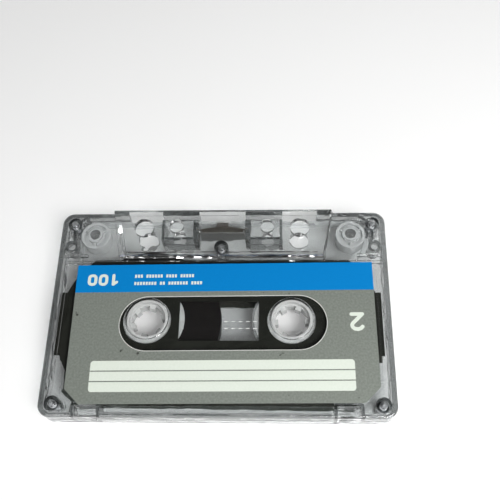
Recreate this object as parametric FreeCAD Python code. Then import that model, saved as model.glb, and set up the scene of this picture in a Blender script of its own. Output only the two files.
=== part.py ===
import FreeCAD, Part
import math
import os

# Compact audio cassette. Sizes in millimetres.
# X runs along the width, +Y points to the edge where the tape comes out, Z is up.
# Side B is up. The origin is the centre of the lowest plane of the cassette.

Vector = FreeCAD.Vector

# Overall size
shell_width = 100.4
shell_depth = 63.8
body_height = 8.7
head_height = 12.0
corner_radius = 3.6
edge_radius = 0.8

# Walls of the two shell halves
panel_thickness = 1.4
head_panel_thickness = 2.0
side_wall = 1.5
front_wall = 1.3
rib_thickness = 0.8

# Raised head section, a trapezoid that is widest at the front edge
head_front_width = 69.0
head_back_width = 63.0
head_depth = 15.9
head_bevel = 0.7

# Hub axes and the holes round them
hub_spacing = 42.5
hub_from_front = 34.9
hub_float = 0.3
hub_rim_width = 0.3
hub_rim_height = 0.2

# Hubs
hub_radius = 11.0
hub_sheet_gap = 0.53
hub_collar_radius = 5.95
hub_collar_wall = 0.55
hub_collar_below_face = 0.9
hub_groove_from_collar = 1.25
hub_groove_from_rim = 2.1
hub_groove_depth = 1.2
tooth_count = 6
tooth_ring_width = 0.4
tooth_length = 1.1
tooth_width = 1.7
tooth_height = 2.8
supply_tooth_angle = 18.0
takeup_tooth_angle = 3.0

# Plug that pins the leader in each hub
clip_width = 7.0
clip_depth = 1.4
clip_clearance = 0.05
clip_taper = 1.2
supply_clip_angle = 100.0
takeup_clip_angle = 250.0

# Tape. The pack fills a share of the room between its hub and the nearest wall
tape_width = 3.81
pack_fill = 0.752
leader_wrap_thickness = 0.6
strand_thickness = 0.1
strand_clearance = 0.1
winding_clearance = 0.02

# Guide rollers on posts of the lower half
roller_boss_gap = 0.4
roller_end_gap = 0.1
roller_radius = 4.5
strand_wall_gap = 1.1
roller_sleeve_wall = 1.0
roller_sleeve_proud = 0.4
roller_rim = 0.8
roller_dish_depth = 0.9
roller_spokes = 3
roller_spoke_width = 0.6
roller_spoke_angle = 30.0
post_radius = 1.5
post_running_clearance = 0.08
post_collar_height = 0.25
post_socket_depth = 0.2

# Holes for the drive capstans and for the locating pins of the machine
capstan_hole_radius = 3.0
capstan_x = 24.0
capstan_from_front = 5.9
locating_hole_radius = 2.2
locating_x = 14.0
locating_from_front = 5.4

# Openings in the front wall
front_opening_step = 0.2
head_opening_width = 14.4
pinch_opening_inner = 18.6
pinch_opening_width = 10.8

# Screws and their bosses
screw_from_side = 3.8
screw_from_front = 3.6
screw_from_back = 3.9
centre_screw_from_front = 12.1
screw_shank_radius = 0.95
screw_end_cover = 0.95
screw_tip_length = 1.2
screw_tip_radius = 0.3
screw_head_radius = 1.85
screw_head_height = 1.2
screw_head_sink = 0.35
screw_slot_length = 2.4
screw_slot_width = 0.5
screw_slot_depth = 0.6
screw_side_clearance = 0.15
pilot_clearance = 0.05
boss_wall = 1.2
seat_boss_wall = 0.55
seat_boss_rise = 0.8

# Label and the shallow recess that takes it
recess_depth = 0.25
recess_margin = 0.9
label_from_side = 5.75
label_from_head = 1.6
label_line_from_hubs = 1.4
label_from_back = 3.9
label_chamfer = 4.4
label_thickness = 0.12
label_shift = 1.1
label_turn = 0.6
cutout_end_margin = 2.5
cutout_side_margin = 0.3
print_thickness = 0.03
band_height = 8.9
field_from_side = 6.85
field_height = 9.0
field_from_back = 3.4
field_corner = 0.9
field_rule_gap = 0.35
field_lines = 3
label_corner = 0.6
numeral_widen = 1.35
numeral_steps = 6
numeral_arc_start = 160.0
numeral_arc_end = -40.0
small_numeral_height = 2.9
small_numeral_stroke = 0.9
small_numeral_from_edge = 3.45
small_numeral_from_side = 12.45
large_numeral_height = 4.6
large_numeral_stroke = 1.1
large_numeral_from_side = 3.9

# Rows of small blocks where small lettering would be, each row with the blocks in each word
block_rows = [(5, 4, 6, 3), (4, 7, 2, 8)]
block_from_edge = 3.8
block_row_pitch = 2.35
block_from_side = 35.5
block_indent = 2.5
block_width = 0.62
block_height = 1.0
block_pitch = 0.86

# Slip sheets
sheet_thickness = 0.12
sheet_side_clearance = 1.1
sheet_rib_clearance = 0.3
sheet_boss_clearance = 1.35
sheet_tab_height = 19.5
sheet_lobe_radius = 26.6
sheet_hole_clearance = 1.15
sheet_hole_drop = 0.5
window_from_hole = 2.45
window_height = 12.2

# Tape guide ribs and the pad
slot_wall_width = 1.7
slot_wall_length = 6.0
spring_slot_width = 0.6
spring_slot_depth = 1.1
spring_end_clearance = 0.3
spring_thickness = 0.15
spring_height = 4.2
spring_bow = 0.9
pad_width = 3.8
pad_height = 3.4
pad_thickness = 1.7
shield_thickness = 0.4
shield_height = 5.2
shield_from_spring = 1.5
shield_lip = 1.2

# Write-protect tabs at the back edge
tab_from_side = 13.3
tab_width = 6.6
tab_height = 3.4
tab_slit = 0.5
tab_thickness = 0.7
tab_pocket_depth = 3.6

# Small ribs and marks of the mouldings
roller_rib_gap = 1.5
roller_rib_start = -25.0
roller_rib_end = 105.0
short_rib_tape_gap = 0.145
peg_gap = 0.5
peg_from_front = 11.2
peg_radius = 1.1
peg_length = 1.8
short_rib_from_side = 9.0
gusset_thickness = 0.9
gusset_offset = 7.4
scale_rows = 2
scale_marks = 11
scale_mark_length = 1.1
scale_mark_width = 0.3
scale_mark_height = 0.1
scale_row_gap = 2.1
scale_from_label_line = -0.7

# How far a cutting shape runs past what it cuts
overshoot = 1.0
wall_overshoot = 0.2

# Two lengths closer than this are the same
same = 1e-6

# Places worked out from the sizes
front_y = shell_depth / 2
back_y = -front_y
half_width = shell_width / 2
mid_z = head_height / 2
body_top = mid_z + body_height / 2
panel_inner = body_top - panel_thickness
head_inner = head_height - head_panel_thickness
recess_z = body_top - recess_depth
head_back_y = front_y - head_depth
rib_root_z = panel_inner + panel_thickness / 2
head_root_z = head_inner + panel_thickness / 2
short_rib_z = mid_z + tape_width / 2 + short_rib_tape_gap
hub_x = hub_spacing / 2
hub_y = front_y - hub_from_front
hub_hole_radius = hub_collar_radius + hub_float
hub_body_height = 2 * (panel_inner - sheet_thickness - hub_sheet_gap - mid_z)
hub_collar_height = 2 * (body_top - hub_collar_below_face - mid_z)
hub_bore_radius = hub_collar_radius - hub_collar_wall
hub_groove_inner = hub_collar_radius + hub_groove_from_collar
hub_groove_outer = hub_radius - hub_groove_from_rim
boss_radius = screw_shank_radius + pilot_clearance + boss_wall
seat_boss_radius = screw_head_radius + screw_side_clearance + seat_boss_wall
screw_x = half_width - screw_from_side
screw_head_bottom = mid_z - body_height / 2 + screw_head_sink
screw_shoulder_z = screw_head_bottom + screw_head_height
screw_end_z = body_top - screw_end_cover
strand_inner = roller_radius + strand_clearance
strand_outer = strand_inner + strand_thickness
roller_height = 2 * (panel_inner - post_collar_height - roller_end_gap - roller_sleeve_proud - mid_z)
roller_y = front_y - front_wall - strand_wall_gap - strand_outer
roller_to_screw = seat_boss_radius + roller_boss_gap + strand_outer
roller_x = screw_x - math.sqrt(roller_to_screw ** 2 - (front_y - screw_from_front - roller_y) ** 2)
roller_rib_radius = strand_outer + roller_rib_gap
capstan_y = front_y - capstan_from_front
locating_y = front_y - locating_from_front
strand_front_y = roller_y + strand_inner
front_opening_height = 2 * (head_inner - front_opening_step - mid_z)
slot_wall_x = head_opening_width / 2
slot_wall_front_y = strand_front_y - 3 * strand_clearance
slot_wall_back_y = slot_wall_front_y - slot_wall_length
spring_half = slot_wall_x + spring_slot_depth - spring_end_clearance
pad_front_y = strand_front_y - strand_clearance
pad_back_y = pad_front_y - pad_thickness
spring_front_y = pad_back_y
shield_y = spring_front_y - spring_bow - spring_thickness - shield_from_spring
peg_x = roller_x + strand_outer + peg_gap + peg_radius + rib_thickness
peg_y = front_y - peg_from_front
tab_x = half_width - tab_from_side
leader_radius = hub_radius + winding_clearance + leader_wrap_thickness
room_to_side = half_width - side_wall - hub_x
room_to_back = hub_y - back_y - side_wall
room_to_front = slot_wall_back_y - rib_thickness - hub_y
pack_radius = hub_radius + pack_fill * (min(room_to_side, room_to_back, room_to_front) - hub_radius)
label_line_y = hub_y - label_line_from_hubs
label_half_width = half_width - label_from_side
label_front_y = head_back_y - label_from_head
label_back_y = back_y + label_from_back
hub_rim_radius = hub_hole_radius + hub_rim_width
cutout_length = hub_spacing + 2 * (hub_rim_radius + cutout_end_margin)
cutout_height = 2 * (hub_rim_radius + label_line_from_hubs + cutout_side_margin)
field_width = 2 * (label_half_width - field_from_side)
gusset_near = screw_from_back + gusset_offset
gusset_far = gusset_near + gusset_thickness * math.sqrt(2)
sheet_side = half_width - side_wall - sheet_side_clearance
sheet_back_y = back_y + tab_pocket_depth + rib_thickness + sheet_rib_clearance
sheet_front_y = front_y - centre_screw_from_front - seat_boss_radius - sheet_boss_clearance
sheet_hub_hole_radius = hub_collar_radius + sheet_hole_clearance
window_width = hub_spacing - 2 * (sheet_hub_hole_radius + window_from_hole)
sheet_hole_y = hub_y - sheet_hole_drop
pins = [
    (screw_x, front_y - screw_from_front),
    (-screw_x, front_y - screw_from_front),
    (screw_x, back_y + screw_from_back),
    (-screw_x, back_y + screw_from_back),
    (0.0, front_y - centre_screw_from_front),
]


def box(x0, x1, y0, y1, z0, z1):
    return Part.makeBox(x1 - x0, y1 - y0, z1 - z0, Vector(x0, y0, z0))


def disc(x, y, radius, z0, z1):
    return Part.makeCylinder(radius, z1 - z0, Vector(x, y, z0))


def ring(x, y, inner, outer, z0, z1):
    return disc(x, y, outer, z0, z1).cut(disc(x, y, inner, z0, z1))


def prism(points, z0, z1):
    corners = [Vector(x, y, z0) for x, y in points]
    face = Part.Face(Part.makePolygon(corners + corners[:1]))
    return face.extrude(Vector(0, 0, z1 - z0))


def upright_edges(shape):
    """Straight edges that run along Z."""
    found = []
    for edge in shape.Edges:
        if len(edge.Vertexes) == 2:
            a, b = (vertex.Point for vertex in edge.Vertexes)
            if abs(a.x - b.x) < same and abs(a.y - b.y) < same:
                found.append(edge)
    return found


def edges_at(shape, z):
    """Edges that lie in the plane at height z."""
    found = []
    for edge in shape.Edges:
        bounds = edge.BoundBox
        if abs(bounds.ZMin - z) < same and abs(bounds.ZMax - z) < same:
            found.append(edge)
    return found


def rounded_box(x0, x1, y0, y1, z0, z1, radius):
    block = box(x0, x1, y0, y1, z0, z1)
    return block.makeFillet(radius, upright_edges(block))


def stadium(x, y, length, height, z0, z1):
    radius = height / 2
    reach = length / 2 - radius
    middle = box(x - reach, x + reach, y - radius, y + radius, z0, z1)
    ends = [disc(x + end, y, radius, z0, z1) for end in (-reach, reach)]
    return middle.multiFuse(ends).removeSplitter()


def sector(x, y, inner, outer, start, end, z0, z1):
    """Part of a ring between two angles in degrees."""
    full = Part.makeCylinder(outer, z1 - z0, Vector(x, y, z0), Vector(0, 0, 1), end - start)
    full.rotate(Vector(x, y, z0), Vector(0, 0, 1), start)
    return full.cut(disc(x, y, inner, z0, z1))


def turned(shape, x, y, angle):
    return shape.rotated(Vector(x, y, 0), Vector(0, 0, 1), angle)


def flipped(shape):
    """The same shape on the other side of the plane where the halves meet."""
    return shape.mirror(Vector(0, 0, mid_z), Vector(0, 0, 1))


def turned_over(shape):
    """The same shape on the other side, as when the cassette is turned about its long middle line."""
    return shape.rotated(Vector(0, 0, mid_z), Vector(0, 1, 0), 180)


def mirrored(shape):
    """The same shape on the other side of the centre line."""
    return shape.mirror(Vector(0, 0, 0), Vector(1, 0, 0))


def both_sides(shape):
    return [shape, mirrored(shape)]


def save(shape, name):
    solids = [solid.removeSplitter() for solid in shape.Solids]
    for solid in solids:
        if not solid.isValid():
            raise ValueError(name + " is not a valid solid")
    result = solids[0] if len(solids) == 1 else Part.makeCompound(solids)
    result.exportStep("parts/" + name + ".step")
    print(name, len(solids), round(sum(solid.Volume for solid in solids), 3))


def head_outline(inset):
    """Corners of the head trapezoid, moved in by inset at its sides and its back."""
    front = head_front_width / 2 - inset
    back = head_back_width / 2 - inset
    return [(-front, front_y), (front, front_y), (back, head_back_y + inset), (-back, head_back_y + inset)]


def loft(low, high, z0, z1):
    """Solid between two outlines with the same number of corners."""
    wires = []
    for points, z in ((low, z0), (high, z1)):
        corners = [Vector(x, y, z) for x, y in points]
        wires.append(Part.makePolygon(corners + corners[:1]))
    return Part.makeLoft(wires, True, True)


def half_body():
    """Upper tray: panel, side walls and raised head section, before holes and ribs."""
    tray = rounded_box(-half_width, half_width, back_y, front_y, mid_z, body_top, corner_radius)
    tray = tray.makeFillet(edge_radius, edges_at(tray, body_top))
    head = loft(head_outline(0.0), head_outline(head_bevel), body_top - edge_radius, head_height)
    tray = tray.fuse(head)
    inner_x = half_width - side_wall
    inner_corner = corner_radius - side_wall
    back = back_y + side_wall
    front = front_y - front_wall
    room = rounded_box(-inner_x, inner_x, back, front, mid_z, panel_inner, inner_corner)
    head_room = prism(head_outline(head_bevel + side_wall), panel_inner - edge_radius, head_inner)
    head_room = head_room.common(box(-half_width, half_width, back_y, front, mid_z, head_height))
    return tray.cut(room).cut(head_room)


def roof_z(x, y):
    """Height of the inner face of the panel at a place."""
    slope = (head_front_width - head_back_width) / 2 / head_depth
    side = head_back_width / 2 + slope * (y - head_back_y) - head_bevel - side_wall
    inside = y > head_back_y + head_bevel + side_wall and abs(x) < side
    return head_inner if inside else panel_inner


def label_outline(side_margin, end_margin):
    """Corners of the label before it is shifted and turned, moved out by the margins."""
    side = label_half_width + side_margin
    back = label_back_y - end_margin
    front = label_front_y + end_margin
    corner = side - label_chamfer
    rise = back + label_chamfer
    return [(-side, front), (-side, rise), (-corner, back), (corner, back), (side, rise), (side, front)]


def recess():
    """Shallow room for the label in the panel, wide enough for its shift."""
    outline = label_outline(label_shift + recess_margin, recess_margin)
    return prism(outline, recess_z, body_top + overshoot)


def scale_marks_on_window():
    """Rows of short raised bars on the window."""
    marks = []
    pitch = (window_width - 2 * scale_mark_length) / (scale_marks - 1)
    for row in range(scale_rows):
        y = label_line_y + scale_from_label_line + (0.5 - row) * scale_row_gap
        for index in range(scale_marks):
            x = (index - (scale_marks - 1) / 2) * pitch
            marks.append(
                box(
                    x - scale_mark_length / 2,
                    x + scale_mark_length / 2,
                    y - scale_mark_width / 2,
                    y + scale_mark_width / 2,
                    recess_z - scale_mark_height,
                    recess_z + scale_mark_height,
                )
            )
    return marks


def ribs():
    """Walls and stiffening ribs under the panel, down to the plane where the halves meet."""
    parts = []

    # curved wall round the outer side of each guide roller
    wall = sector(
        roller_x,
        roller_y,
        roller_rib_radius,
        roller_rib_radius + rib_thickness,
        roller_rib_start,
        roller_rib_end,
        mid_z,
        rib_root_z,
    )
    side = half_width - side_wall / 2
    wall = wall.common(box(0, side, back_y, front_y - front_wall / 2, mid_z, head_height))
    parts += both_sides(wall)

    # pair of walls beside the head opening, slotted for the pad spring
    wall = box(
        slot_wall_x,
        slot_wall_x + slot_wall_width,
        slot_wall_back_y,
        slot_wall_front_y,
        mid_z,
        head_root_z,
    )
    slot = box(
        slot_wall_x,
        slot_wall_x + spring_slot_depth,
        spring_front_y - spring_bow - spring_thickness - spring_slot_width / 2,
        spring_front_y - spring_bow + spring_slot_width / 2,
        mid_z,
        mid_z + spring_height / 2 + spring_end_clearance,
    )
    parts += both_sides(wall.cut(slot))

    # wall between the locating hole and the pinch roller opening
    wall = box(
        pinch_opening_inner - rib_thickness,
        pinch_opening_inner,
        slot_wall_back_y,
        slot_wall_front_y,
        mid_z,
        head_root_z,
    )
    parts += both_sides(wall)

    # cross wall behind the locating holes
    wall = box(
        slot_wall_x,
        pinch_opening_inner,
        slot_wall_back_y - rib_thickness,
        slot_wall_back_y,
        mid_z,
        head_root_z,
    )
    parts += both_sides(wall)

    # shallow stiffener from the side wall towards the roller
    y = peg_y - peg_radius - 2 * rib_thickness
    rib = box(
        half_width - short_rib_from_side,
        half_width - side_wall / 2,
        y - rib_thickness,
        y,
        short_rib_z,
        rib_root_z,
    )
    parts += both_sides(rib)

    # gusset across each back corner
    edge = half_width - side_wall / 2
    low = back_y + side_wall / 2
    near_side = [(edge - gusset_near, low), (edge, low + gusset_near)]
    far_side = [(edge, low + gusset_far), (edge - gusset_far, low)]
    gusset = prism(near_side + far_side, short_rib_z, rib_root_z)
    parts += both_sides(gusset)

    # pockets of the write-protect tabs
    outer = box(
        tab_x - tab_width / 2 - rib_thickness,
        tab_x + tab_width / 2 + rib_thickness,
        back_y + side_wall / 2,
        back_y + tab_pocket_depth + rib_thickness,
        mid_z,
        rib_root_z,
    )
    inner = box(
        tab_x - tab_width / 2,
        tab_x + tab_width / 2,
        back_y + side_wall / 2,
        back_y + tab_pocket_depth,
        mid_z,
        rib_root_z,
    )
    parts += both_sides(outer.cut(inner))
    return parts


def bosses():
    return [disc(x, y, boss_radius, mid_z, roof_z(x, y) + panel_thickness / 2) for x, y in pins]


def peg_bosses():
    return both_sides(disc(peg_x, peg_y, peg_radius + rib_thickness, mid_z, rib_root_z))


def post_collars():
    """Low collars under the panel that keep the rollers off it."""
    radius = post_radius + rib_thickness
    root = roof_z(roller_x, roller_y) + panel_thickness / 2
    return both_sides(disc(roller_x, roller_y, radius, panel_inner - post_collar_height, root))


def hub_openings():
    """Holes in the panel round the hub collars."""
    return both_sides(disc(hub_x, hub_y, hub_hole_radius, panel_inner - overshoot, head_height))


def machine_holes():
    holes = []
    for x, y, radius in (
        (capstan_x, capstan_y, capstan_hole_radius),
        (locating_x, locating_y, locating_hole_radius),
    ):
        holes += both_sides(disc(x, y, radius, head_inner - overshoot, head_height + overshoot))
    return holes


def front_openings():
    """Openings of the front wall for the head and for the two pinch rollers."""
    low = mid_z - overshoot
    top = mid_z + front_opening_height / 2
    wall_back = front_y - front_wall - wall_overshoot
    wall_front = front_y + overshoot
    head = box(-head_opening_width / 2, head_opening_width / 2, wall_back, wall_front, low, top)
    pinch_outer = pinch_opening_inner + pinch_opening_width
    pinch = box(pinch_opening_inner, pinch_outer, wall_back, wall_front, low, top)
    return [head] + both_sides(pinch)


def tab_slits():
    """Slit on three sides of each write-protect tab, and the thinner wall of the tab."""
    top = mid_z + tab_height / 2
    outer = box(
        tab_x - tab_width / 2,
        tab_x + tab_width / 2,
        back_y - overshoot,
        back_y + side_wall + wall_overshoot,
        mid_z - overshoot,
        top,
    )
    leaf = box(
        tab_x - tab_width / 2 + tab_slit,
        tab_x + tab_width / 2 + overshoot,
        back_y,
        back_y + tab_thickness,
        mid_z - 2 * overshoot,
        top - tab_slit,
    )
    return both_sides(outer.cut(leaf))


def hub_rims():
    """Raised rim round each hub hole, with a bevelled outer edge."""
    foot = Vector(hub_x, hub_y, recess_z)
    cone = Part.makeCone(hub_rim_radius, hub_rim_radius - hub_rim_height, hub_rim_height, foot)
    root = disc(hub_x, hub_y, hub_rim_radius, recess_z - panel_thickness / 2, recess_z)
    return both_sides(cone.fuse(root))


def shell_common():
    """What the two halves share, drawn as the upper half."""
    half = half_body().cut(recess())
    half = half.multiFuse(ribs() + hub_rims() + scale_marks_on_window() + bosses() + peg_bosses())
    half = half.multiFuse(post_collars())
    return half.cut(hub_openings() + machine_holes() + front_openings() + tab_slits())


def shell_half_b():
    """Upper half: blind screw holes, sockets for the roller posts and the pegs."""
    pilot_radius = screw_shank_radius + pilot_clearance
    cuts = []
    for x, y in pins:
        cuts.append(disc(x, y, pilot_radius, mid_z - overshoot, screw_end_z + pilot_clearance))
    socket_radius = post_radius + post_running_clearance
    socket = disc(roller_x, roller_y, socket_radius, mid_z, panel_inner + post_socket_depth)
    peg_top = mid_z + peg_length + pilot_clearance
    peg_hole = disc(peg_x, peg_y, peg_radius + pilot_clearance, mid_z - overshoot, peg_top)
    return shell_common().cut(cuts + both_sides(socket) + both_sides(peg_hole))


def shell_half_a():
    """Lower half: screw seats, roller posts and pegs."""
    added = []
    for x, y in pins:
        low = head_height - roof_z(x, y) - panel_thickness / 2
        added.append(disc(x, y, seat_boss_radius, low, screw_shoulder_z + seat_boss_rise))
    post_low = head_height - roof_z(roller_x, roller_y) - panel_thickness / 2
    post_top = panel_inner + post_socket_depth - post_running_clearance
    added += both_sides(disc(roller_x, roller_y, post_radius, post_low, post_top))
    added += both_sides(disc(peg_x, peg_y, peg_radius, head_height - rib_root_z, mid_z + peg_length))
    half = flipped(shell_common()).multiFuse(added)
    shank_hole = screw_shank_radius + screw_side_clearance
    head_hole = screw_head_radius + screw_side_clearance
    cuts = []
    for x, y in pins:
        cuts.append(disc(x, y, shank_hole, -overshoot, mid_z + overshoot))
        cuts.append(disc(x, y, head_hole, -overshoot, screw_shoulder_z))
    return half.cut(cuts)


def screws():
    """Self-tapping screws with a cross slot, heads at side A."""
    made = []
    tip_z = screw_end_z - screw_tip_length
    for x, y in pins:
        head = disc(x, y, screw_head_radius, screw_head_bottom, screw_shoulder_z)
        slot = box(
            x - screw_slot_length / 2,
            x + screw_slot_length / 2,
            y - screw_slot_width / 2,
            y + screw_slot_width / 2,
            screw_head_bottom - overshoot,
            screw_head_bottom + screw_slot_depth,
        )
        head = head.cut([slot, turned(slot, x, y, 90)])
        shank = disc(x, y, screw_shank_radius, screw_shoulder_z, tip_z)
        tip = Vector(x, y, tip_z)
        point = Part.makeCone(screw_shank_radius, screw_tip_radius, screw_tip_length, tip)
        made.append(head.multiFuse([shank, point]))
    return Part.makeCompound(made)


def hub(x, tooth_angle, clip_angle):
    """Hub with a winding rim, a collar and a ring of drive teeth in its bore."""
    top = mid_z + hub_body_height / 2
    half_collar = hub_collar_height / 2
    solid = disc(x, hub_y, hub_radius, mid_z - hub_body_height / 2, top)
    solid = solid.fuse(disc(x, hub_y, hub_collar_radius, mid_z - half_collar, mid_z + half_collar))
    groove = ring(x, hub_y, hub_groove_inner, hub_groove_outer, top - hub_groove_depth, top)
    bore = disc(x, hub_y, hub_bore_radius, mid_z - head_height, mid_z + head_height)
    solid = solid.cut([groove, flipped(groove), bore])
    low = mid_z - tooth_height / 2
    high = mid_z + tooth_height / 2
    ring_radius = hub_bore_radius - tooth_ring_width
    ring_root = (hub_collar_radius + hub_bore_radius) / 2
    added = [ring(x, hub_y, ring_radius, ring_root, low, high)]
    for index in range(tooth_count):
        tooth = box(
            x + ring_radius - tooth_length,
            x + hub_bore_radius,
            hub_y - tooth_width / 2,
            hub_y + tooth_width / 2,
            low,
            high,
        )
        added.append(turned(tooth, x, hub_y, tooth_angle + index * 360 / tooth_count))
    solid = solid.multiFuse(added)
    return solid.cut(turned(clip_block(x, clip_clearance), x, hub_y, clip_angle))


def clip_block(x, grow):
    """Wedge-shaped seat of the clip in the rim, open to the outside."""
    inner = x + hub_radius - clip_depth - grow
    outer = x + hub_radius + overshoot
    wide = clip_width / 2 + grow
    narrow = wide - clip_taper
    points = [(inner, hub_y - wide), (outer, hub_y - narrow), (outer, hub_y + narrow), (inner, hub_y + wide)]
    return prism(points, mid_z - hub_body_height, mid_z + hub_body_height)


def hub_clip(x, angle):
    rim = disc(x, hub_y, hub_radius, mid_z - tape_width / 2, mid_z + tape_width / 2)
    return turned(clip_block(x, 0.0), x, hub_y, angle).common(rim)


def winding(x, outer):
    """Wound turns on a hub, as one ring."""
    inner = hub_radius + winding_clearance
    return ring(x, hub_y, inner, outer, mid_z - tape_width / 2, mid_z + tape_width / 2)


def belt_line(offset):
    """Closed line round the pack, both rollers and the leader turns, at a distance outside them.

    Gives the tangent points of the stretch from the pack over the rollers to the take-up hub.
    """
    circles = [
        (-hub_x, hub_y, pack_radius + offset),
        (-roller_x, roller_y, roller_radius + offset),
        (roller_x, roller_y, roller_radius + offset),
        (hub_x, hub_y, leader_radius + offset),
    ]
    runs = []
    for (x1, y1, r1), (x2, y2, r2) in zip(circles, circles[1:]):
        distance = math.hypot(x2 - x1, y2 - y1)
        heading = math.atan2(y2 - y1, x2 - x1)
        normal = heading + math.acos((r1 - r2) / distance)
        step = Vector(math.cos(normal), math.sin(normal), 0)
        runs.append((Vector(x1, y1, 0) + step * r1, Vector(x2, y2, 0) + step * r2))
    return circles, runs


def strand_edges(offset):
    circles, runs = belt_line(offset)
    edges = []
    for index, (start, end) in enumerate(runs):
        edges.append(Part.makeLine(start, end))
        if index < 2:
            x, y, radius = circles[index + 1]
            after = runs[index + 1][0]
            middle = (end + after) * 0.5 - Vector(x, y, 0)
            middle.normalize()
            edges.append(Part.Arc(end, Vector(x, y, 0) + middle * radius, after).toShape())
    return edges, runs[0][0], runs[-1][1]


def leader_run():
    """Leader from the tape pack over both rollers to the take-up hub, a thin upright ribbon."""
    inner, inner_start, inner_end = strand_edges(strand_clearance)
    outer, outer_start, outer_end = strand_edges(strand_outer - roller_radius)
    ends = [Part.makeLine(inner_end, outer_end), Part.makeLine(outer_start, inner_start)]
    wire = Part.Wire(Part.sortEdges(inner + outer + ends)[0])
    ribbon = Part.Face(wire).extrude(Vector(0, 0, tape_width))
    return ribbon.translated(Vector(0, 0, mid_z - tape_width / 2))


def guide_roller(x):
    """Roller with a rim and spokes round a sleeve that stands a little proud at both ends."""
    low = mid_z - roller_height / 2
    high = mid_z + roller_height / 2
    sleeve_radius = post_radius + roller_sleeve_wall
    solid = disc(x, roller_y, roller_radius, low, high)
    rim_inner = roller_radius - roller_rim
    dish = ring(x, roller_y, sleeve_radius, rim_inner, high - roller_dish_depth, high)
    solid = solid.cut([dish, flipped(dish)])
    spoke = box(
        x + sleeve_radius - roller_spoke_width / 4,
        x + rim_inner + roller_spoke_width / 4,
        roller_y - roller_spoke_width / 2,
        roller_y + roller_spoke_width / 2,
        low,
        high,
    )
    angles = [roller_spoke_angle + index * 360 / roller_spokes for index in range(roller_spokes)]
    sleeve = disc(x, roller_y, sleeve_radius, low - roller_sleeve_proud, high + roller_sleeve_proud)
    solid = solid.multiFuse([turned(spoke, x, roller_y, angle) for angle in angles] + [sleeve])
    bore_radius = post_radius + post_running_clearance
    return solid.cut(disc(x, roller_y, bore_radius, low - overshoot, high + overshoot))


def sheet_limits():
    """Corners of the room that the walls, the centre boss and the back gussets leave for a slip sheet."""
    edge = half_width - side_wall / 2
    low = back_y + side_wall / 2
    reach = gusset_far + sheet_rib_clearance * math.sqrt(2)
    rise = low + reach - (edge - sheet_side)
    corner = edge - reach + (sheet_back_y - low)
    left = [(-sheet_side, sheet_front_y), (-sheet_side, rise), (-corner, sheet_back_y)]
    return left + [(-x, y) for x, y in reversed(left)]


def slip_sheet():
    """Coated film under the upper panel, with tabs that reach the side walls."""
    low = panel_inner - sheet_thickness
    high = panel_inner
    reach = sheet_lobe_radius
    sheet = box(-hub_x, hub_x, label_line_y - reach, label_line_y + reach, low, high)
    tab = sheet_tab_height / 2
    tabs = box(-half_width, half_width, label_line_y - tab, label_line_y + tab, low, high)
    sheet = sheet.multiFuse(both_sides(disc(hub_x, label_line_y, reach, low, high)) + [tabs])
    sheet = sheet.common(prism(sheet_limits(), low, high))
    window = box(
        -window_width / 2,
        window_width / 2,
        sheet_hole_y - window_height / 2,
        sheet_hole_y + window_height / 2,
        low - overshoot,
        high + overshoot,
    )
    hub_hole = disc(hub_x, sheet_hole_y, sheet_hub_hole_radius, low - overshoot, high + overshoot)
    return sheet.cut([window] + both_sides(hub_hole))


def on_label(shape):
    """Shape laid on the shell with the small shift and turn of the label."""
    return turned(shape, 0, 0, label_turn).translated(Vector(label_shift, 0, 0))


def label_cutout():
    """Long hole of the label round the hubs and the window."""
    low = recess_z - overshoot
    high = recess_z + overshoot
    return stadium(0, label_line_y, cutout_length, cutout_height, low, high)


def label_blank():
    """Label before it is laid down."""
    sheet = prism(label_outline(0, 0), recess_z, recess_z + label_thickness)
    sheet = sheet.makeFillet(label_corner, upright_edges(sheet))
    return sheet.cut(label_cutout())


def stroke(points, width, z0, z1):
    """Bar of even width with round ends along a line of points."""
    parts = [disc(x, y, width / 2, z0, z1) for x, y in points]
    for (x1, y1), (x2, y2) in zip(points, points[1:]):
        length = math.hypot(x2 - x1, y2 - y1)
        bar = box(0, length, -width / 2, width / 2, z0, z1)
        bar.rotate(Vector(0, 0, 0), Vector(0, 0, 1), math.degrees(math.atan2(y2 - y1, x2 - x1)))
        parts.append(bar.translated(Vector(x1, y1, 0)))
    return parts[0].multiFuse(parts[1:])


def arc_points(x, y, radius, start, end):
    points = []
    for index in range(numeral_steps + 1):
        angle = math.radians(start + (end - start) * index / numeral_steps)
        points.append((x + radius * math.cos(angle), y + radius * math.sin(angle)))
    return points


def numeral(kind, height):
    """Centre line of a plain 0, 1 or 2, upright, with its lower left corner at the origin."""
    radius = height / 4
    high = height - radius
    if kind == "0":
        top = arc_points(radius, high, radius, 0, 180)
        bottom = arc_points(radius, radius, radius, 180, 360)
        return top + bottom + top[:1]
    if kind == "1":
        return [(radius / 4, high), (radius * 1.25, height), (radius * 1.25, 0)]
    top = arc_points(radius, high, radius, numeral_arc_start, numeral_arc_end)
    return top + [(0, 0), (2 * radius, 0)]


def numerals(text, x, y, height, width, z0, z1):
    """Numerals that read from the back edge, so they stand on their heads here."""
    pitch = height / 2 * numeral_widen + 1.5 * width
    parts = []
    for index, kind in enumerate(text):
        line = [(x - px * numeral_widen - index * pitch, y - py) for px, py in numeral(kind, height)]
        parts.append(stroke(line, width, z0, z1))
    return parts


def small_print(z0, z1):
    """Rows of small blocks in groups, where small lettering would be, from right to left."""
    blocks = []
    for row, words in enumerate(block_rows):
        x = block_from_side - label_half_width + block_indent * row
        y = label_front_y - block_from_edge - block_row_pitch * row
        for count in words:
            for index in range(count):
                blocks.append(box(x - block_width, x, y - block_height / 2, y + block_height / 2, z0, z1))
                x -= block_pitch
            x -= block_pitch
    return blocks


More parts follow.
